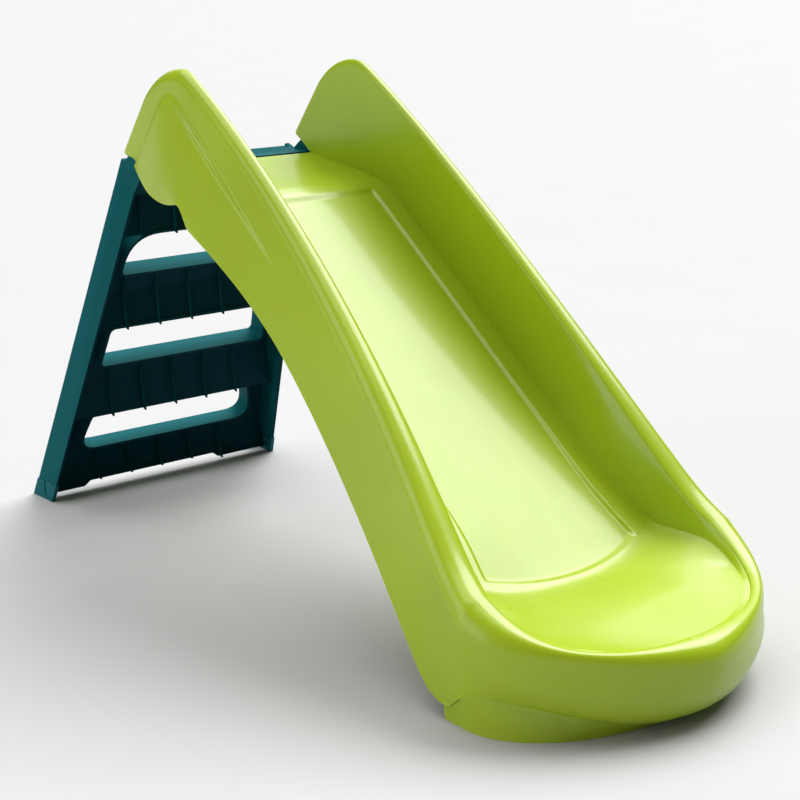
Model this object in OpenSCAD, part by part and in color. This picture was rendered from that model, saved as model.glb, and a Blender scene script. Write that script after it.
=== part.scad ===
// Folding toddler slide: a one-piece moulded chute with a wide rounded nose,
// and a one-piece moulded ladder that hinges inside the ears of the chute.
// X runs across the slide, +Y towards the ladder, Z up. Origin on the floor, mid-length.

/* [Chute] */
// Half width of the sliding bed at its side creases
bed_half = 142; // [138:1:144]
// Height of the landing at its front edge
landing_z = 517; // [505:1:525]
// Place of the landing's front edge along the slide
landing_front_y = 168; // [160:1:176]
// Place of the landing's rear edge, beside the ladder
landing_rear_y = 340; // [334:1:344]
// Rise of the sliding bed for each millimetre of length
bed_slope = 0.735; // [0.70:0.005:0.76]
// Height of the run-out at the nose
runout_z = 99; // [94:1:103]
// Wall thickness of the moulding
skin = 4; // [3.5:0.5:5]

/* [Side walls] */
// Height of the two handrail humps
hump_z = 680.5; // [672:0.5:688]
// Place of the hump tops along the slide
hump_y = 230; // [226:1:234]
// How far the ears stand out from the walls
ear_bulge = 14; // [12:0.5:15]

/* [Nose] */
// Where the straight walls end and the nose starts to turn
nose_y = -430; // [-436:1:-424]
// Half width of the nose at its widest line
nose_half = 229; // [225:1:233]
// Length of the nose ahead of its start
nose_len = 176; // [170:1:180]

/* [Ladder] */
// Half width of the ladder at the floor
foot_half = 209; // [205:1:211]
// Narrowing of each side for each millimetre of height
side_taper = 0.119; // [0.11:0.001:0.125]
// Lean of the ladder for each millimetre of height
lean = 0.382; // [0.37:0.002:0.39]
// Where the front edges of the side flanges meet the floor
foot_y = 557; // [553:1:560]
// Depth of the ladder tray, square to its face
tray_depth = 50; // [47:1:51]
// Distance up the ladder to the first tread
first_tread = 71; // [68:1:74]
// Distance up the ladder from one tread to the next
tread_pitch = 159; // [156:0.5:160]
// Clear height of the climbing openings, measured up the ladder
opening_h = 64.5; // [60:0.5:66]
// Height of the top ledge behind the landing
ledge_z = 537.5; // [535:0.5:540]

/* [Hinge] */
// Place of the hinge axis along the slide
hinge_y = 252; // [250:1:254]
// Height of the hinge axis
hinge_z = 585; // [583:1:587]
// Radius of the hinge pins
pin_r = 8; // [7:0.5:9]
// Running clearance between a pin and its bores
pin_gap = 0.05; // [0.02:0.01:0.10]

/* [Hidden] */

LIME = [0.62, 0.75, 0.11];
TEAL = [0.05, 0.34, 0.36];
LEFT = -1;
RIGHT = 1;

// ---- smooth helpers ----
function smooth_min(a, b, k) = (a + b - sqrt((a - b) * (a - b) + k * k)) / 2;
function smooth_max(a, b, k) = (a + b + sqrt((a - b) * (a - b) + k * k)) / 2;
function mix(a, b, t) = a + (b - a) * t;
function ease(t) = let (c = min(1, max(0, t))) c * c * (3 - 2 * c);
function unit(v) = v / norm(v);

// ---- chute surfaces in the side view ----
landing_fall = 0.117;       // slope of the landing
runout_fall = 0.075;        // slope of the run-out
runout_front_y = -553;

function landing_at(y) = landing_z + landing_fall * (y - landing_front_y);
function slope_at(y) = landing_z + bed_slope * (y - landing_front_y);
// The run-out rises to its sides, less so at the tip of the nose
function runout_dish(y) = mix(0.0003, 0.0007, ease((y - nose_y + 60) / 70));
function runout_at(x, y) = runout_z + runout_fall * (y - runout_front_y) + runout_dish(y) * x * x;
function bed_at(x, y) =
    smooth_max(smooth_min(landing_at(y), slope_at(y), 12), runout_at(x, y), 8);

// The rim: an arc and a straight stretch behind the hump, and a long fall from it to the nose
rear_arc_r = 118;
rear_arc_end = 93;        // behind the hump top, where the rear arc ends
rear_edge_slope = 1.28;
top_arc_end = 60;           // ahead of the hump top the arc gives way to the fall
nose_rim_z = 106;           // height of the rim at the tip of the nose

function arc_at(d) = hump_z - rear_arc_r + sqrt(rear_arc_r * rear_arc_r - d * d);
function rim_fall_at(v) = hump_z - 50 + 0.66 * v - 0.00038 * v * v;
function rim_at(y) = let (d = y - hump_y)
    d > rear_arc_end ? arc_at(rear_arc_end) - rear_edge_slope * (d - rear_arc_end) :
    smooth_max(smooth_min(arc_at(max(d, -top_arc_end)), rim_fall_at(d + 91), 5),
               150 + 0.45 * (y - nose_y), 20);

// The lower edge of the outer wall: the ear's round edge, then the long lower edge
ear_low_y = 232;
ear_low_z = 503;
function ear_edge_at(y) = ear_low_z + 0.00415 * (y - ear_low_y) * (y - ear_low_y);
function wall_edge_at(y) = let (v = y - 166) 475 + 0.404 * v - 0.000863 * v * v;
function lip_at(y) = mix(smooth_max(wall_edge_at(y), 15, 30) + 24 * ease((nose_y + 32 - y) / 36),
                         ear_edge_at(y), ease((y - 168) / 36));

// The ear stands proud below a line that follows the hump
function ear_line(y) = smooth_min(600 + 0.76 * (y - 174), 617 - 1.4 * (y - 286), 32);
function ear_out(y, z) =
    ear_bulge * ease((y + 60) / 230) * ease((ear_line(y) - z) / 14);

// ---- chute stations: straight walls first, then the turn of the nose ----
rear_steps = 8;             // stations along the landing
wall_steps = 26;            // all stations of the straight walls
nose_steps = 14;            // stations from the walls to the tip of the nose
half_steps = wall_steps + nose_steps;
rear_lean = 34;             // the rear ends of the walls lean back beyond the landing
nose_crowding = 0.35;       // the stations of the walls close up towards the nose

function station_y(i) = i <= rear_steps
    ? mix(landing_rear_y, landing_front_y, i / rear_steps)
    : let (u = (i - rear_steps) / (wall_steps - rear_steps))
      mix(landing_front_y, nose_y, u * (1 + nose_crowding * (1 - u)));
function lean_at(i) = rear_lean * pow(1 - min(1, i / rear_steps), 2);
function turn(i) = 90 * (i - wall_steps) / nose_steps;
function along(i) = min(1, (landing_rear_y - station_y(min(i, wall_steps))) / (landing_rear_y - nose_y));

// A guide is [half width, length ahead of the nose start, height, share of the rear lean, roundness].
// Round the nose it follows a superellipse: roundness 2 is an ellipse, more is squarer.
function place(i, g) = i <= wall_steps
    ? [g[0], station_y(i) + lean_at(i) * g[3], g[2]]
    : [g[0] * pow(cos(turn(i)), 2 / g[4]), nose_y - g[1] * pow(sin(turn(i)), 2 / g[4]), g[2]];

nose_crease_half = 179;     // the bed widens as it reaches the nose
crease_len = 135;
function crease_guide(i, o) =
    [mix(bed_half, nose_crease_half, ease((along(i) - 0.78) / 0.22)) + o, crease_len + o, 0, 0, 2.2];
function crest_height(i) = i <= wall_steps
    ? rim_at(station_y(i) + lean_at(i))
    : nose_rim_z + (rim_at(nose_y) - nose_rim_z) * pow(1 - sin(turn(i)), 2);
function tip_share(i) = i <= wall_steps ? 0 : sin(turn(i));
function inner_guide(i, o) = let (t = along(i))
    [139 + 46 * pow(t, 3.2) + o, 142 + o, crest_height(i) - o - mix(8, 3, tip_share(i)), 1, 2.2];
function crest_guide(i, o) = let (t = along(i))
    [smooth_min(143.5 + 64 * pow(t, 2.8), 205, 4) + o / 2, 153, crest_height(i) - o, 1, 2];
function widest_guide(i, o) = let (t = along(i))
    [smooth_min(157 + 75 * pow(t, 2.7), nose_half + 1, 4) - o, nose_len - o,
     crest_height(i) - o - mix(14 + 20 * t, 27, tip_share(i)), 1, 1.6];
lip_half = 223;
lip_len = 138;
function lip_height(i) = i <= wall_steps ? lip_at(station_y(i)) : tuck_height(turn(i));
function tuck_height(a) = mix(lip_at(nose_y), 46 - 36 * ease((a - 20) / 55), ease(a / 12));
function lip_guide(i, o) = let (t = along(i))
    [smooth_min(161 + 69 * pow(t, 1.25), lip_half + 2, 5) - o, lip_len - o, lip_height(i), 0, 1.7];

function bed_point(i, share, o) =
    let (c = place(i, crease_guide(i, o)),
         spine = i <= wall_steps ? station_y(i) : nose_y - 100 * sin(turn(i)),
         x = share * c[0], y = mix(spine, c[1], share))
    [x, y, bed_at(x, y) - o];
function wall_point(i, out, up, o) =
    let (e = crease_guide(i, o), c = place(i, e), g = inner_guide(i, o))
    place(i, [mix(e[0], g[0], out), mix(e[1], g[1], out),
              mix(bed_at(c[0], c[1]) - o, g[2], up), up, 2.2]);
function rim_point(i, from, crest, flip, a) =
    let (s = flip ? sin(a) : 1 - cos(a), u = flip ? cos(a) : sin(a))
    place(i, [mix(flip ? crest[0] : from[0], flip ? from[0] : crest[0], s),
              mix(flip ? crest[1] : from[1], flip ? from[1] : crest[1], s),
              mix(from[2], crest[2], u), 1, mix(from[4], crest[4], flip ? 1 - s : s)]);
function skirt_point(i, f, o) =
    let (w = widest_guide(i, o), l = lip_guide(i, o),
         curl = i <= wall_steps ? 0 : ease(turn(i) / 50),
         out = mix(f, 1 - cos(90 * f), curl), down = mix(f, sin(90 * f), curl),
         z = mix(w[2], l[2], down),
         p = place(i, [mix(w[0], l[0], out), mix(w[1], l[1], out), z, 1 - f, 1.7]))
    [p[0] + (i <= wall_steps ? ear_out(p[1], z + o * (1 - down)) : 0), p[1], z];

function half_section(i, o) = concat(
    [for (s = [0, 0.22, 0.45, 0.66, 0.84, 0.95]) bed_point(i, s, o)],
    [for (w = [[0.03, 0.02], [0.1, 0.12], [0.4, 0.5], [0.75, 0.84]]) wall_point(i, w[0], w[1], o)],
    [for (a = [0 : 30 : 90]) rim_point(i, inner_guide(i, o), crest_guide(i, o), false, a)],
    [for (a = [22.5 : 22.5 : 90]) rim_point(i, widest_guide(i, o), crest_guide(i, o), true, a)],
    [for (k = [1 : 7]) skirt_point(i, k / 7, o)]);

// A closed section runs out over the skin to the lip and back along the inside
function reversed(v) = [for (k = [len(v) - 1 : -1 : 0]) v[k]];
function closed_section(i) = concat(half_section(i, 0), reversed(half_section(i, skin)));

chute_sections = [for (i = [0 : half_steps]) closed_section(i)];
ring_len = len(chute_sections[0]);
full_steps = 2 * half_steps;

function chute_points() = [for (i = [0 : full_steps]) for (p = chute_sections[min(i, full_steps - i)])
    [i <= half_steps ? -p[0] : p[0], p[1], p[2]]];
function spine_end(j) = j == 0 || j == ring_len - 1;
function at(i, j) = (spine_end(j) && i > half_steps ? full_steps - i : i) * ring_len + j;
function two_tris(a, b, c, d) = [[a, c, b], [a, d, c]];
// The outside and the inside of the skin are split along the same diagonals
function skin_tris(j, a, b, c, d) = j < ring_len / 2 ? two_tris(a, b, c, d) : two_tris(b, c, d, a);
function chute_faces() = concat(
    [for (i = [0 : full_steps - 1]) for (j = [0 : ring_len - 2])
        for (t = skin_tris(j, at(i, j), at(i, j + 1), at(i + 1, j + 1), at(i + 1, j))) t],
    [for (j = [0 : ring_len / 2 - 2])
        for (t = two_tris(at(0, j), at(0, ring_len - 1 - j), at(0, ring_len - 2 - j), at(0, j + 1))) t],
    [for (j = [0 : ring_len / 2 - 2])
        for (t = two_tris(at(full_steps, j), at(full_steps, j + 1),
                          at(full_steps, ring_len - 2 - j), at(full_steps, ring_len - 1 - j))) t]);

// ---- the foot band that flares out under the nose and stands on the floor ----
band_foot = [218, 126];     // half width and length of the band on the floor
band_foot_power = 1;
band_lead = 36;             // the band starts this far behind the nose start
band_steps = 16;
function band_turn(i) = 90 * max(0, i) / band_steps;
function band_start(i) = i < 0 ? -i * band_lead / 2 : 0;
function band_ring(i, half, length, power, z) =
    [half * pow(cos(band_turn(i)), power),
     nose_y + band_start(i) - length * pow(sin(band_turn(i)), power), z];
function band_upper(i, o) = band_ring(i, lip_half - 1.5 - o, lip_len - 1.5 - o, 2 / 1.7,
                                      tuck_height(band_turn(i)) + 3);
function band_lower(i, o) = band_ring(i, band_foot[0] - o, band_foot[1] - o, band_foot_power, 0);
function band_section(i) = [band_upper(i, 0), band_lower(i, 0), band_lower(i, skin), band_upper(i, skin)];
band_first = -2;
band_full = 2 * (band_steps - band_first);
function band_points() = [for (k = [0 : band_full])
    for (p = band_section(min(k, band_full - k) + band_first))
        [k <= band_full / 2 ? -p[0] : p[0], p[1], p[2]]];
function band_faces() = concat(
    [for (k = [0 : band_full - 1]) for (j = [0 : 3])
        for (t = two_tris(4 * k + j, 4 * k + (j + 1) % 4, 4 * k + 4 + (j + 1) % 4, 4 * k + 4 + j)) t],
    two_tris(3, 2, 1, 0),
    two_tris(4 * band_full, 4 * band_full + 1, 4 * band_full + 2, 4 * band_full + 3));

module chute_shell() {
    color(LIME) {
        polyhedron(points = chute_points(), faces = chute_faces(), convexity = 8);
        polyhedron(points = band_points(), faces = band_faces(), convexity = 4);
    }
}

// ---- hinge ----
boss_r = 15;
boss_in = 152.7;            // the boss starts just outside the ladder's lug
boss_out = 169;             // and ends in the back of the ear
pin_in = 146.3;
pin_out = 167;
module across(side, x0, x1) {
    translate([side > 0 ? x0 : -x1, hinge_y, hinge_z]) rotate([0, 90, 0])
        linear_extrude(x1 - x0) children();
}
module pivot_boss(side) {
    color(LIME) difference() {
        across(side, boss_in, boss_out) circle(r = boss_r, $fn = 48);
        across(side, boss_in - 1, pin_out + 0.3) circle(r = pin_r + pin_gap, $fn = 48);
    }
}
module hinge_pin(side) {
    color("dimgray") across(side, pin_in, pin_out) circle(r = pin_r, $fn = 48);
}

// ---- ladder: built upright with its face on Y = 0, then leaned back over the floor ----
wall = 4;
lean_angle = atan(lean);
foot_end_z = 3;             // the flanges stand inside the foot caps
shoulder_up = 564;          // top of the side flanges, up the ladder
tread_count = 3;
collar_recess = [23, 16, 16];   // the collars stop short of the flange edges
opening_half = [151, 143.5, 133];
opening_flare = [9, 4, 4];  // the openings widen downwards like the ladder
low_corner = [34, 9, 9];    // corner radii at the bottom of each opening
high_corner = [10, 9, 48];  // and at its top
riser_foot = 21;            // how far behind the face the lower edge of a riser lies
rib_pitch = 57;
rib_width = 2.6;
rib_height = 7;
rib_pairs = 2;
far = 900;

function side_x(u) = foot_half - side_taper * cos(lean_angle) * u;
function tread(k) = first_tread + k * tread_pitch;

// A corner eased by a curve that starts r away from it
function corner(p, a, b, r) = [for (k = [0 : 8]) let (t = k / 8)
    (1 - t) * (1 - t) * (p + r * unit(a - p)) + 2 * t * (1 - t) * p + t * t * (p + r * unit(b - p))];
function eased(pts, radii) = [for (i = [0 : len(pts) - 1])
    for (q = corner(pts[i], pts[(i + len(pts) - 1) % len(pts)], pts[(i + 1) % len(pts)], radii[i])) q];

// A prism along Y from an outline in X and Z, and one along X from an outline in Y and Z
module prism_y(pts, y0, y1) {
    translate([0, y1, 0]) rotate([90, 0, 0]) linear_extrude(y1 - y0) polygon(pts);
}
module prism_x(pts, x0, x1) {
    translate([x0, 0, 0]) rotate([90, 0, 90]) linear_extrude(x1 - x0) polygon(pts);
}
module leaned() {
    translate([0, foot_y, 0]) rotate([lean_angle, 0, 0]) children();
}
module tray(inset, d0, d1, u0, u1) {
    prism_y([[-side_x(u0) + inset, u0], [side_x(u0) - inset, u0],
             [side_x(u1) - inset, u1], [-side_x(u1) + inset, u1]], d0, d1);
}
module below(z) { translate([-far, -far, z - far]) cube([2 * far, 2 * far, far]); }

function opening_shape(k, grow) =
    let (u0 = tread(k) - grow, u1 = tread(k) + opening_h + grow,
         h = opening_half[k] + grow, d = opening_flare[k])
    eased([[-h - d, u0], [h + d, u0], [h - d, u1], [-h + d, u1]],
          [low_corner[k] + grow, low_corner[k] + grow, high_corner[k] + grow, high_corner[k] + grow]);

// Risers: the skin between two openings. The lower half of each comes forward.
top_up = 563;
function riser_top(k) = k < tread_count ? tread(k) : top_up;
function riser_low(k) = k == 0 ? 1 : tread(k - 1) + opening_h;
module riser(k, front, back, x0, x1) {
    u0 = riser_low(k);
    u1 = riser_top(k);
    um = mix(u0, u1, 0.52);
    d = tray_depth;
    prism_x([[riser_foot - front, u0], [d - 3 - front, um], [d - front, u1],
             [d - back, u1], [d - 3 - back, um], [riser_foot - back, u0]], x0, x1);
}

lug_in = 146.3;               // the lugs move between the skins of the walls
lug_out = 152;
module lug(side) {
    arm = eased([[hinge_y - 28, hinge_z - 26], [hinge_y - 22, hinge_z + 26], [hinge_y + 30, hinge_z + 22],
                 [366, 557], [382, 545], [400, 531], [340, 530], [306, 546]],
                [24, 22, 24, 6, 3, 3, 12, 16]);
    foot = [[350, ledge_z], [390, ledge_z], [398, 506], [368, 496], [345, 526]];
    prism_x(arm, side > 0 ? lug_in : -lug_out, side > 0 ? lug_out : -lug_in);
    prism_x(foot, side > 0 ? 130 : -149, side > 0 ? 149 : -130);
}

module flanges_and_skin() {
    difference() {
        tray(0, 0, tray_depth, -20, shoulder_up);
        tray(wall, -1, tray_depth + 1, -21, shoulder_up - wall);
    }
    // The stretches of skin beside the openings
    difference() {
        tray(1, tray_depth - wall, tray_depth, tread(0) - 1, tread(2) + opening_h + 1);
        tray(58, 0, tray_depth + 1, 0, shoulder_up);
    }
    for (k = [0 : tread_count])
        intersection() {
            riser(k, wall, 0, -foot_half, foot_half);
            tray(1, 0, tray_depth, -1, top_up);
        }
    // The top corner behind the ledge is solid
    tray(1, tray_depth - 14, tray_depth - 1, shoulder_up - 18, shoulder_up - 1);
}
module collars() {
    for (k = [0 : tread_count - 1])
        prism_y(opening_shape(k, wall), collar_recess[k], tray_depth);
}
module ribs() {
    for (k = [0 : tread_count], n = [-rib_pairs : rib_pairs])
        riser(k, wall + rib_height, wall - 1,
              n * rib_pitch - rib_width / 2, n * rib_pitch + rib_width / 2);
}
ledge_front_y = 349;
ledge_rear_y = 400;
ledge_lip = 14;
ledge_half = 139;
ledge_rise = 3.5;           // the ledge's rear edge stands this proud of its top
module ledge() {
    prism_x([[ledge_front_y, ledge_z], [ledge_rear_y, ledge_z], [ledge_rear_y + 4, ledge_z - 10],
             [ledge_rear_y - 1, ledge_z - 10], [ledge_rear_y - 3, ledge_z - wall],
             [ledge_front_y + wall, ledge_z - wall], [ledge_front_y + wall, ledge_z - ledge_lip],
             [ledge_front_y, ledge_z - ledge_lip]], -ledge_half, ledge_half);
}

// The lower edge of the skin is clear of the floor, and more so across its middle
skin_foot = [[-196, -1], [-196, 5], [-146, 5], [-130, 14], [100, 14], [112, 5], [196, 5], [196, -1]];

module ladder_frame() {
    color(TEAL) difference() {
        union() {
            leaned() {
                flanges_and_skin();
                collars();
                ribs();
            }
            ledge();
            lug(LEFT);
            lug(RIGHT);
        }
        leaned() for (k = [0 : tread_count - 1]) prism_y(opening_shape(k, 0), -1, tray_depth + 1);
        below(foot_end_z);
        prism_y(skin_foot, 0, far);
        translate([-ledge_half, ledge_front_y, ledge_z + ledge_rise]) cube([2 * ledge_half, 90, 40]);
        for (side = [LEFT, RIGHT])
            across(side, 140, 170) circle(r = pin_r + pin_gap, $fn = 48);
    }
}

cap_z = 28;
cap_wall = 1.2;
cap_gap = 0.1;
cap_reach = 12;             // how far the caps follow the skin inwards
module foot_cap(side) {
    color(TEAL) intersection() {
        difference() {
            leaned() difference() {
                tray(-cap_wall, -cap_wall, tray_depth + cap_wall, -24, 60);
                tray(wall + cap_wall + cap_gap, -9, tray_depth - wall - cap_gap, -25, 61);
                tray(cap_reach, -9, tray_depth + 9, -25, 61);
            }
            below(0);
            translate([0, 0, cap_z + far]) mirror([0, 0, 1]) below(far);
            // Room for the flange and the skin, above the cap's sole
            difference() {
                leaned() difference() {
                    tray(-cap_gap, -cap_gap, tray_depth + cap_gap, -25, 61);
                    tray(wall + cap_gap, -9, tray_depth - wall - cap_gap, -26, 62);
                }
                below(foot_end_z - cap_gap);
            }
            // A slot for the foot of the skin
            leaned() riser(0, wall + cap_gap, -cap_gap, -far, far);
        }
        translate([side > 0 ? 0 : -far, -far, -1]) cube([far, 2 * far, 60]);
    }
}

// Moves every node so that the origin lies at mid-length
mid_y = (foot_y + (tray_depth + cap_wall) / cos(lean_angle) + nose_y - nose_len) / 2;
module placed() { translate([0, -mid_y, 0]) children(); }

placed() chute_shell();
placed() pivot_boss(LEFT);  // pivot_boss_left
placed() pivot_boss(RIGHT);  // pivot_boss_right
placed() hinge_pin(LEFT);  // hinge_pin_left
placed() hinge_pin(RIGHT);  // hinge_pin_right
placed() ladder_frame();
placed() foot_cap(LEFT);  // foot_cap_left
placed() foot_cap(RIGHT);  // foot_cap_right
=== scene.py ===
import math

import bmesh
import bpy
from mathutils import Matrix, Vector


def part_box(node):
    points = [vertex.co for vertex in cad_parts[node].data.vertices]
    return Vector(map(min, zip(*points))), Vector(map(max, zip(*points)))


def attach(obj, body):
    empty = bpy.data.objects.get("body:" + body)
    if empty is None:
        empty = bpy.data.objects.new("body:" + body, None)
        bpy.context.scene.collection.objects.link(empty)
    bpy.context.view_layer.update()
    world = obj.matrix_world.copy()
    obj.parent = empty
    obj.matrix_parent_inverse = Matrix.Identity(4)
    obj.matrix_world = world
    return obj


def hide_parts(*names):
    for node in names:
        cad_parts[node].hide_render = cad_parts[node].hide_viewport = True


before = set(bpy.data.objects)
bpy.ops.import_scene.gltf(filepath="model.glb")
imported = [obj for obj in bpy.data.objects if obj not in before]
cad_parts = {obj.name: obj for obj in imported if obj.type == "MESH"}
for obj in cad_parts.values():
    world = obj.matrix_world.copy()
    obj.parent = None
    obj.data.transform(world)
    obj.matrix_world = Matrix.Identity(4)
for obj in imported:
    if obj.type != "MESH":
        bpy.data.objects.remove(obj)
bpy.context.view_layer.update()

# Folding toddler slide. The chute is lofted here again from the formulas of the CAD source, with more
# stations and a finer section, so that it reads as one smooth moulding. The ladder and its foot caps
# are the CAD mouldings with eased edges. The chute's formulas work in millimetres, like the CAD
# source; everything else is in metres.

MM_PER_M = 1000
scene = bpy.context.scene


# ---------------------------------------------------------------- camera, at the photo's angle
def add_camera(location, pitch, yaw, lens):
    data = bpy.data.cameras.new("camera")
    data.lens = lens
    data.sensor_width = 36
    data.clip_end = 400
    ob = bpy.data.objects.new("camera", data)
    scene.collection.objects.link(ob)
    ob.location = location
    ob.rotation_euler = (math.radians(pitch), 0, math.radians(yaw))
    scene.camera = ob


add_camera(location=(-1.3284, -1.6794, 0.8497), pitch=74.31, yaw=-39.18, lens=74.3)


# ---------------------------------------------------------------- materials
def add_node(nt, kind, inputs=()):
    """A new node. Each input is linked if it is given a socket, or else set to a value."""
    node = nt.nodes.new(kind)
    for name, value in dict(inputs).items():
        if isinstance(value, bpy.types.NodeSocket):
            nt.links.new(value, node.inputs[name])
        else:
            node.inputs[name].default_value = value
    return node


def principled(name, rough, specular=0.5, coat=0.0):
    mat = bpy.data.materials.new(name)
    mat.use_nodes = True
    nt = mat.node_tree
    nt.nodes.clear()
    bsdf = add_node(nt, "ShaderNodeBsdfPrincipled", {
        "IOR": 1.49, "Specular IOR Level": specular, "Roughness": rough,
        "Coat Weight": coat, "Coat Roughness": 0.1})
    add_node(nt, "ShaderNodeOutputMaterial", {"Surface": bsdf.outputs[0]})
    return mat, nt, bsdf


def noise(nt, where, scale, detail=3.0):
    return add_node(nt, "ShaderNodeTexNoise", {
        "Vector": where, "Scale": scale, "Detail": detail, "Roughness": 0.5}).outputs["Fac"]


def remap(nt, value, from_min, from_max, to_min, to_max):
    return add_node(nt, "ShaderNodeMapRange", {
        "Value": value, "From Min": from_min, "From Max": from_max,
        "To Min": to_min, "To Max": to_max}).outputs["Result"]


def opaque(colour):
    return (*colour, 1) if isinstance(colour, tuple) else colour


def blend(nt, share, first, second):
    """Mix two colours. In a Mix node the colour sockets are inputs 6 and 7 and output 2."""
    node = nt.nodes.new("ShaderNodeMix")
    node.data_type = "RGBA"
    nt.links.new(share, node.inputs["Factor"])
    for socket, colour in ((node.inputs[6], opaque(first)), (node.inputs[7], opaque(second))):
        if isinstance(colour, tuple):
            socket.default_value = colour
        else:
            nt.links.new(colour, socket)
    return node.outputs[2]


def clouded(nt, where, colour):
    """The moulding's colour, with a faint uneven cloud in it."""
    cloud = remap(nt, noise(nt, where, 5.0, 4.0), 0.35, 0.65, 0.0, 1.0)
    return blend(nt, cloud, tuple(0.96 * c for c in colour), tuple(min(1, 1.035 * c) for c in colour))


def rubbed(nt, tint, light):
    """Outer edges a little paler, from handling."""
    geometry = nt.nodes.new("ShaderNodeNewGeometry")
    return blend(nt, remap(nt, geometry.outputs["Pointiness"], 0.51, 0.60, 0.0, 0.5), tint, light)


def painted_shade_inside(nt, tint, normal, direction, colour):
    """Painted shade: darken the faces that look in the given direction, which is into the moulding's open
    side, where shade falls.
    """
    facing = nt.nodes.new("ShaderNodeVectorMath")
    facing.operation = "DOT_PRODUCT"
    facing.inputs[1].default_value = direction
    nt.links.new(normal, facing.inputs[0])
    return blend(nt, remap(nt, facing.outputs["Value"], 0.25, 0.75, 0.0, 1.0), tint, colour)


def uneven_polish(nt, where, rough, scuffs):
    """Roughness that varies in long marks, which run down the slide."""
    stretch = add_node(nt, "ShaderNodeMapping", {"Vector": where, "Scale": (42, 11, 11)})
    spread_of_rough = 0.012 + scuffs
    return remap(nt, noise(nt, stretch.outputs[0], 1.0, 1.0), 0.3, 0.7,
                 rough - spread_of_rough, rough + spread_of_rough)


GRAIN_SIZE = 0.0006
GRAIN_DEPTH = 0.00002
SWELL_DEPTH = 0.0015


def moulded_surface(nt, where):
    """Fine grain over a slow swell."""
    grain = add_node(nt, "ShaderNodeBump", {
        "Strength": 0.03, "Distance": GRAIN_DEPTH, "Height": noise(nt, where, 1 / GRAIN_SIZE, 2.0)})
    swell = add_node(nt, "ShaderNodeBump", {
        "Strength": 0.05, "Distance": SWELL_DEPTH, "Height": noise(nt, where, 22.0, 1.0),
        "Normal": grain.outputs[0]})
    return swell.outputs[0]


def moulded(name, colour, light, rough, scuffs=0.0, specular=0.5, coat=0.0, inner_shade=None):
    mat, nt, bsdf = principled(name, rough, specular, coat)
    coord = nt.nodes.new("ShaderNodeTexCoord")
    where = coord.outputs["Object"]
    tint = rubbed(nt, clouded(nt, where, colour), light)
    # The darker inside colour is painted shade on the faces that look into the moulding's open side.
    if inner_shade:
        tint = painted_shade_inside(nt, tint, coord.outputs["Normal"], *inner_shade)
    nt.links.new(tint, bsdf.inputs["Base Color"])
    nt.links.new(uneven_polish(nt, where, rough, scuffs), bsdf.inputs["Roughness"])
    nt.links.new(moulded_surface(nt, where), bsdf.inputs["Normal"])
    return mat


# The ladder's inner faces, which look this way, get a darker colour below that is painted shade, not the
# plastic's own colour.
INTO_THE_TRAY = (0, -0.934, -0.357)
LIME = moulded("lime_plastic", (0.325, 0.448, 0.0105), (0.40, 0.53, 0.04), rough=0.29, scuffs=0.006,
               specular=0.36, coat=0.22)
TEAL = moulded("teal_plastic", (0.003, 0.082, 0.092), (0.01, 0.13, 0.15), rough=0.48, scuffs=0.01,
               specular=0.02, inner_shade=(INTO_THE_TRAY, (0.002, 0.028, 0.040)))
CAP = moulded("cap_plastic", (0.006, 0.095, 0.110), (0.02, 0.16, 0.18), rough=0.50, scuffs=0.01,
              specular=0.04)
GREY = moulded("pin_plastic", (0.11, 0.11, 0.11), (0.2, 0.2, 0.2), rough=0.45)


def paint(ob, mat):
    ob.data.materials.clear()
    ob.data.materials.append(mat)


# ---------------------------------------------------------------- chute surfaces, in millimetres
BED_HALF = 142
LANDING_Z = 517
LANDING_FRONT_Y = 168
LANDING_REAR_Y = 340
LANDING_FALL = 0.117
BED_SLOPE = 0.735
RUNOUT_Z = 99
RUNOUT_FALL = 0.075
RUNOUT_FRONT_Y = -553
SKIN = 4
HUMP_Z = 680.5
HUMP_Y = 230
EAR_BULGE = 14
NOSE_Y = -430
NOSE_HALF = 229
NOSE_LEN = 176
NOSE_RIM_Z = 106
REAR_ARC_R = 118
REAR_ARC_END = 93
TOP_ARC_END = 60
REAR_EDGE_SLOPE = 1.28
EAR_LOW_Y = 232
EAR_LOW_Z = 503
LIP_HALF = 223
LIP_LEN = 138
CREASE_LEN = 135
NOSE_CREASE_HALF = 179

# The CAD source centres the part along Y. This is the shift that does it.
SHIFT_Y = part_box("chute_shell")[0][1] * MM_PER_M - (NOSE_Y - NOSE_LEN)


def smooth_min(a, b, k):
    return (a + b - math.sqrt((a - b) ** 2 + k * k)) / 2


def smooth_max(a, b, k):
    return (a + b + math.sqrt((a - b) ** 2 + k * k)) / 2


def mix(a, b, t):
    return a + (b - a) * t


def ease(t):
    c = min(1.0, max(0.0, t))
    return c * c * (3 - 2 * c)


def sind(angle):
    return math.sin(math.radians(angle))


def cosd(angle):
    return math.cos(math.radians(angle))


def runout_dish(y):
    """The run-out rises to its sides, less so at the tip of the nose."""
    return mix(0.0003, 0.0007, ease((y - NOSE_Y + 60) / 70))


def bed_at(x, y):
    landing = LANDING_Z + LANDING_FALL * (y - LANDING_FRONT_Y)
    slope = LANDING_Z + BED_SLOPE * (y - LANDING_FRONT_Y)
    runout = RUNOUT_Z + RUNOUT_FALL * (y - RUNOUT_FRONT_Y) + runout_dish(y) * x * x
    return smooth_max(smooth_min(landing, slope, 12), runout, 8)


def arc_at(d):
    return HUMP_Z - REAR_ARC_R + math.sqrt(REAR_ARC_R * REAR_ARC_R - d * d)


def rim_fall_at(v):
    return HUMP_Z - 50 + 0.66 * v - 0.00038 * v * v


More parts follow.
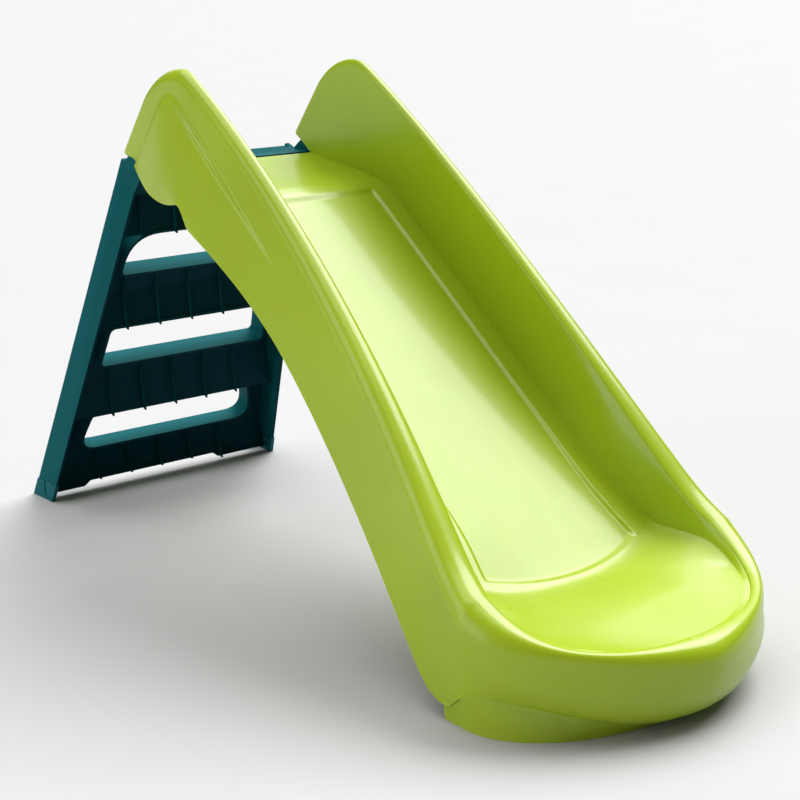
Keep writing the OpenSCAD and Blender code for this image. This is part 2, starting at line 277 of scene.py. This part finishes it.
def rim_at(y):
    """Height of the rim: an arc behind the hump, and a long fall from it to the nose."""
    d = y - HUMP_Y
    if d > REAR_ARC_END:
        return arc_at(REAR_ARC_END) - REAR_EDGE_SLOPE * (d - REAR_ARC_END)
    hump = smooth_min(arc_at(max(d, -TOP_ARC_END)), rim_fall_at(d + 91), 5)
    return smooth_max(hump, 150 + 0.45 * (y - NOSE_Y), 20)


def wall_edge_at(y):
    v = y - 166
    return 475 + 0.404 * v - 0.000863 * v * v


def lip_at(y):
    """Height of the outer wall's lower edge, with the ear's round edge at its rear."""
    ear_edge = EAR_LOW_Z + 0.00415 * (y - EAR_LOW_Y) ** 2
    wall = smooth_max(wall_edge_at(y), 15, 30) + 24 * ease((NOSE_Y + 32 - y) / 36)
    return mix(wall, ear_edge, ease((y - 168) / 36))


def ear_line(y):
    return smooth_min(600 + 0.76 * (y - 174), 617 - 1.4 * (y - 286), 32)


def ear_out(y, z):
    """The ear stands out below its line: a short step first, and then a long straight ramp."""
    below = ear_line(y) - z
    step = 0.42 * ease(below / 9)
    ramp = 0.58 * min(1, max(0, below) / 112)
    return EAR_BULGE * ease((y + 60) / 230) * (step + ramp)


# ---------------------------------------------------------------- chute stations: walls, then the nose
REAR_STEPS = 8
WALL_STEPS = 26
NOSE_STEPS = 14
HALF_STEPS = WALL_STEPS + NOSE_STEPS
FINER = 4                   # stations made here for each station of the CAD source
REAR_LEAN = 34
NOSE_CROWDING = 0.35


def station_y(i):
    if i <= REAR_STEPS:
        return mix(LANDING_REAR_Y, LANDING_FRONT_Y, i / REAR_STEPS)
    u = (i - REAR_STEPS) / (WALL_STEPS - REAR_STEPS)
    return mix(LANDING_FRONT_Y, NOSE_Y, u * (1 + NOSE_CROWDING * (1 - u)))


def station_of(y):
    """The station at y, found by halving: station_y falls as the station number rises."""
    low, high = 0.0, float(WALL_STEPS)
    for _ in range(40):
        middle = (low + high) / 2
        low, high = (middle, high) if station_y(middle) > y else (low, middle)
    return (low + high) / 2


def lean_at(i):
    return REAR_LEAN * (1 - min(1, i / REAR_STEPS)) ** 2


def turn(i):
    return 90 * (i - WALL_STEPS) / NOSE_STEPS


def along(i):
    return min(1, (LANDING_REAR_Y - station_y(min(i, WALL_STEPS))) / (LANDING_REAR_Y - NOSE_Y))


# A guide is (half width, length ahead of the nose start, height, share of the rear lean, roundness).
# Round the nose it follows a superellipse: roundness 2 is an ellipse, more is squarer. In every
# guide, inset is the distance in from the outer surface: 0 for the outside and SKIN for the inside.
def place(i, guide):
    half, length, z, lean_share, roundness = guide
    if i <= WALL_STEPS:
        return (half, station_y(i) + lean_at(i) * lean_share, z)
    power = 2 / roundness
    return (half * max(0, cosd(turn(i))) ** power, NOSE_Y - length * max(0, sind(turn(i))) ** power, z)


def crease_guide(i, inset):
    half = mix(BED_HALF, NOSE_CREASE_HALF, ease((along(i) - 0.78) / 0.22))
    return (half + inset, CREASE_LEN + inset, 0, 0, 2.2)


def crest_height(i):
    if i <= WALL_STEPS:
        return rim_at(station_y(i) + lean_at(i))
    return NOSE_RIM_Z + (rim_at(NOSE_Y) - NOSE_RIM_Z) * (1 - sind(turn(i))) ** 2


def tip_share(i):
    return 0 if i <= WALL_STEPS else sind(turn(i))


def inner_guide(i, inset):
    z = crest_height(i) - inset - mix(8, 3, tip_share(i))
    return (139 + 46 * along(i) ** 3.2 + inset, 142 + inset, z, 1, 2.2)


def crest_guide(i, inset):
    half = smooth_min(143.5 + 64 * along(i) ** 2.8, 205, 4)
    return (half + inset / 2, 153, crest_height(i) - inset, 1, 2)


def widest_guide(i, inset):
    t = along(i)
    z = crest_height(i) - inset - mix(14 + 20 * t, 27, tip_share(i))
    return (smooth_min(157 + 75 * t ** 2.7, NOSE_HALF + 1, 4) - inset, NOSE_LEN - inset, z, 1, 1.6)


def tuck_height(angle):
    return mix(lip_at(NOSE_Y), 46 - 36 * ease((angle - 20) / 55), ease(angle / 12))


def lip_guide(i, inset):
    z = lip_at(station_y(i)) if i <= WALL_STEPS else tuck_height(turn(i))
    half = smooth_min(161 + 69 * along(i) ** 1.25, LIP_HALF + 2, 5)
    return (half - inset, LIP_LEN - inset, z, 0, 1.7)


# ---------------------------------------------------------------- bed, with its sunk panel
PANEL_DEPTH = 3.2
PANEL_BOW = 38              # the panel's lower end is bowed towards the nose
PANEL_TOP_Y = 160
PANEL_LOW_Y = -346
SPINE_LEN = 100             # from the nose start to the bed's end, on the middle line


def panel_sink(i, share):
    """The panel's sides follow the creases of the bed."""
    if i > WALL_STEPS:
        return 0
    y = station_y(i)
    panel_share = mix(0.83, 0.80, ease(along(i) / 0.9))
    side = ease((panel_share - share) * crease_guide(i, 0)[0] / 6)
    low = ease((y - PANEL_LOW_Y) / 12)
    top = ease((PANEL_TOP_Y - y) / 9)
    return PANEL_DEPTH * side * low * top


def basin_sink(i, share, x, y):
    """The run-out is flatter in its middle, with a shelf that rises round its edge."""
    near = ease((along(i) - 0.80) / 0.20)
    return near * runout_dish(y) * x * x * (1 - share ** 3)


def bed_point(i, share, inset):
    edge = place(i, crease_guide(i, inset))
    if i <= WALL_STEPS:
        spine = station_y(i) - PANEL_BOW * ease((along(i) - 0.45) / 0.4)
    else:
        spine = NOSE_Y - PANEL_BOW - (SPINE_LEN - PANEL_BOW) * sind(turn(i))
    x = share * edge[0]
    y = mix(spine, edge[1], mix(share * share, share, tip_share(i)))
    return (x, y, bed_at(x, y) - inset - panel_sink(i, share) - basin_sink(i, share, x, y))


# ---------------------------------------------------------------- walls, rim and skirt
# How far out and up a wall has gone, from the crease of the bed to the inside of the rim
WALL_KNOTS = [(0, 0), (0.025, 0.015), (0.1, 0.12), (0.4, 0.5), (0.75, 0.84), (1, 1)]


def catmull(p0, p1, p2, p3, u):
    return 0.5 * (2 * p1 + (p2 - p0) * u + (2 * p0 - 5 * p1 + 4 * p2 - p3) * u * u
                  + (3 * p1 - p0 - 3 * p2 + p3) * u ** 3)


def wall_pair(t):
    """A smooth run through the wall's knots."""
    last = len(WALL_KNOTS) - 1
    k = min(last - 1, int(t * last))
    knots = [WALL_KNOTS[min(last, max(0, k + d))] for d in (-1, 0, 1, 2)]
    return tuple(catmull(*(knot[axis] for knot in knots), t * last - k) for axis in (0, 1))


def wall_point(i, t, inset):
    out, up = wall_pair(t)
    crease, inner = crease_guide(i, inset), inner_guide(i, inset)
    foot = place(i, crease)
    return place(i, (mix(crease[0], inner[0], out), mix(crease[1], inner[1], out),
                     mix(bed_at(foot[0], foot[1]) - inset, inner[2], up), up, 2.2))


def rim_point(i, side, crest, outer, angle):
    """A point of the quarter round between a side guide and the crest."""
    across, up = (1 - sind(angle), cosd(angle)) if outer else (1 - cosd(angle), sind(angle))
    return place(i, (mix(side[0], crest[0], across), mix(side[1], crest[1], across),
                     mix(side[2], crest[2], up), 1, mix(side[4], crest[4], across)))


def skirt_point(i, f, inset):
    """A point of the outer wall, from its widest line at f = 0 to its lip at f = 1."""
    widest, lip = widest_guide(i, inset), lip_guide(i, inset)
    curl = 0 if i <= WALL_STEPS else ease(turn(i) / 50)
    out = mix(f, 1 - cosd(90 * f), curl)
    down = mix(f, sind(90 * f), curl)
    z = mix(widest[2], lip[2], down)
    x, y, _ = place(i, (mix(widest[0], lip[0], out), mix(widest[1], lip[1], out), z, 1 - f,
                        mix(widest[4], lip[4], ease(3 * f))))
    return (x + (ear_out(y, z + inset * (1 - down)) if i <= WALL_STEPS else 0), y, z)


def spread(first, last, n, skip_first=False):
    """n + 1 evenly spaced values, or n without the first."""
    return [first + (last - first) * k / n for k in range(1 if skip_first else 0, n + 1)]


# Shares of the bed's half width, close together where the panel's side drops
BED_SHARES = spread(0, 0.72, 12) + spread(0.72, 0.90, 18, True) + spread(0.90, 0.985, 5, True)
WALL_SHARES = spread(0.12, 0.94, 16)
INNER_RIM_ANGLES = spread(0, 90, 7)
OUTER_RIM_ANGLES = spread(0, 90, 9, True)
SKIRT_SHARES = spread(0, 1, 60, True)


def half_section(i, inset):
    """One side of the section at station i, from the middle of the bed to the lip."""
    inner, crest, widest = inner_guide(i, inset), crest_guide(i, inset), widest_guide(i, inset)
    points = [bed_point(i, share, inset) for share in BED_SHARES]
    points += [wall_point(i, t, inset) for t in WALL_SHARES]
    points += [rim_point(i, inner, crest, False, angle) for angle in INNER_RIM_ANGLES]
    points += [rim_point(i, widest, crest, True, angle) for angle in OUTER_RIM_ANGLES]
    points += [skirt_point(i, f, inset) for f in SKIRT_SHARES]
    return points


# ---------------------------------------------------------------- meshes
def grid_of_sections(bm, half_sections):
    """Vertices for the left side's sections, and then for their mirror images back from the nose."""
    both_sides = [(s, -1) for s in half_sections] + [(s, 1) for s in half_sections[-2::-1]]
    return [[bm.verts.new((side * x / MM_PER_M, (y + SHIFT_Y) / MM_PER_M, z / MM_PER_M))
             for x, y, z in section] for section, side in both_sides]


def cap_face(section, j):
    """A face across the skin at an end: the section runs out over it and back."""
    n = len(section)
    return (section[j], section[n - 1 - j], section[n - 2 - j], section[j + 1])


def chute_rows():
    """Station numbers: evenly spaced ones, and close ones where the panel starts and ends."""
    rows = set(round(k / FINER, 4) for k in range(FINER * HALF_STEPS + 1))
    for start_y in (PANEL_TOP_Y + 1, PANEL_LOW_Y + 13):
        for k in range(11):
            rows.add(round(station_of(start_y - 1.4 * k), 4))
    return sorted(rows)


def chute_mesh():
    bm = bmesh.new()
    grid = grid_of_sections(bm, [half_section(i, 0) + half_section(i, SKIN)[::-1] for i in chute_rows()])
    n = len(grid[0])
    for a, b in zip(grid, grid[1:]):
        for j in range(n - 1):
            bm.faces.new((a[j], a[j + 1], b[j + 1], b[j]))
    for j in range(n // 2 - 1):
        bm.faces.new(cap_face(grid[0], j))
        bm.faces.new(cap_face(grid[-1], j)[::-1])
    bmesh.ops.remove_doubles(bm, verts=bm.verts, dist=2e-5)
    bmesh.ops.recalc_face_normals(bm, faces=bm.faces)
    return bm


# The foot band flares out under the nose and stands on the floor
BAND_STEPS = 64
BAND_LEAD = 36              # it starts this far behind the nose start
BAND_LEAD_STEPS = 10
BAND_FOOT = (218, 126)      # half width and length on the floor
BAND_HEIGHTS = 5


def band_point(k, half, length, power, z):
    angle = 90 * max(0, k) / BAND_STEPS
    back = BAND_LEAD * max(0, -k) / BAND_LEAD_STEPS
    return (half * max(0, cosd(angle)) ** power, NOSE_Y + back - length * max(0, sind(angle)) ** power, z)


def band_side(k, inset):
    top = tuck_height(90 * max(0, k) / BAND_STEPS) + 3
    upper = band_point(k, LIP_HALF - 1.5 - inset, LIP_LEN - 1.5 - inset, 2 / 1.7, top)
    lower = band_point(k, BAND_FOOT[0] - inset, BAND_FOOT[1] - inset, 1, 0)
    return [tuple(mix(u, w, t) for u, w in zip(upper, lower)) for t in spread(0, 1, BAND_HEIGHTS)]


def band_mesh():
    bm = bmesh.new()
    ks = range(-BAND_LEAD_STEPS, BAND_STEPS + 1)
    grid = grid_of_sections(bm, [band_side(k, 0) + band_side(k, SKIN)[::-1] for k in ks])
    n = len(grid[0])
    for a, b in zip(grid, grid[1:]):
        for j in range(n):
            bm.faces.new((a[j], a[(j + 1) % n], b[(j + 1) % n], b[j]))
    for end in (grid[0], grid[-1]):
        for j in range(n // 2 - 1):
            bm.faces.new(cap_face(end, j))
    bmesh.ops.recalc_face_normals(bm, faces=bm.faces)
    return bm


def piece(name, bm, mat, sharp=40):
    """An object from mesh code, smooth but for edges of more than sharp degrees."""
    mesh = bpy.data.meshes.new(name)
    bm.to_mesh(mesh)
    bm.free()
    mesh.shade_smooth()
    mesh.set_sharp_from_angle(angle=math.radians(sharp))
    ob = bpy.data.objects.new(name, mesh)
    scene.collection.objects.link(ob)
    paint(ob, mat)
    return ob


def eased_copy(name, node, mat, width):
    """The CAD node's mesh with its triangles joined up and its edges rounded."""
    bm = bmesh.new()
    bm.from_mesh(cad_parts[node].data)
    bmesh.ops.remove_doubles(bm, verts=bm.verts, dist=1e-5)
    bmesh.ops.dissolve_limit(bm, angle_limit=math.radians(1.0), verts=bm.verts, edges=bm.edges)
    ob = piece(name, bm, mat, sharp=35)
    bevel = ob.modifiers.new("edges", "BEVEL")
    bevel.width = width
    bevel.segments = 2
    bevel.limit_method = "ANGLE"
    bevel.angle_limit = math.radians(38)
    bevel.use_clamp_overlap = True
    bevel.harden_normals = True
    return ob


# ---------------------------------------------------------------- the slide
chute = piece("chute_moulding", chute_mesh(), LIME)
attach(chute, "chute")
band = piece("nose_foot_band", band_mesh(), LIME)
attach(band, "chute")
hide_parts("chute_shell")

ladder = eased_copy("ladder_moulding", "ladder_frame", TEAL, width=0.0012)
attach(ladder, "ladder")
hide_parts("ladder_frame")
for side in ("left", "right"):
    cap = eased_copy("foot_cap_" + side + "_moulding", "foot_cap_" + side, CAP, width=0.0005)
    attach(cap, "ladder")
    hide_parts("foot_cap_" + side)
    paint(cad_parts["pivot_boss_" + side], LIME)
    paint(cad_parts["hinge_pin_" + side], GREY)


# ---------------------------------------------------------------- studio
def pale_floor():
    mat, nt, bsdf = principled("floor", 0.8, specular=0.2)
    where = nt.nodes.new("ShaderNodeTexCoord").outputs["Object"]
    nt.links.new(blend(nt, noise(nt, where, 3.0), (0.45, 0.45, 0.45), (0.47, 0.47, 0.47)),
                 bsdf.inputs["Base Color"])
    bm = bmesh.new()
    bmesh.ops.create_grid(bm, x_segments=8, y_segments=8, size=150)
    floor = piece("floor", bm, mat)


def studio_world():
    """Dim for the light it gives, and pale where the camera sees past the floor."""
    world = bpy.data.worlds.new("studio")
    scene.world = world
    world.use_nodes = True
    nt = world.node_tree
    dim = nt.nodes["Background"]
    dim.inputs["Color"].default_value = (0.93, 0.96, 1, 1)
    dim.inputs["Strength"].default_value = 0.09
    pale = add_node(nt, "ShaderNodeBackground", {"Color": (0.98, 0.98, 0.98, 1)})
    seen = nt.nodes.new("ShaderNodeLightPath").outputs["Is Camera Ray"]
    pick = add_node(nt, "ShaderNodeMixShader", {0: seen, 1: dim.outputs[0], 2: pale.outputs[0]})
    nt.links.new(pick.outputs[0], nt.nodes["World Output"].inputs["Surface"])


def soft_sun(name, source, angle, strength):
    """A wide soft light from far off, in the direction of source."""
    data = bpy.data.lights.new(name, "SUN")
    data.angle = math.radians(angle)
    data.energy = strength
    ob = bpy.data.objects.new(name, data)
    scene.collection.objects.link(ob)
    ob.rotation_euler = Vector(source).to_track_quat("Z", "Y").to_euler()


pale_floor()
studio_world()
scene.view_settings.view_transform = "Standard"
soft_sun("key", (0.58, 0.06, 0.81), 42, 3.7)       # its mirror image whitens the bed
soft_sun("top", (-0.05, 0.26, 0.96), 62, 2.3)
soft_sun("glow", (0.62, 0.47, 0.62), 20, 0.25)
soft_sun("back", (0.62, 0.72, 0.30), 60, 0.6)
soft_sun("fill", (-0.95, 0.18, 0.24), 50, 1.35)    # the outer wall on the left
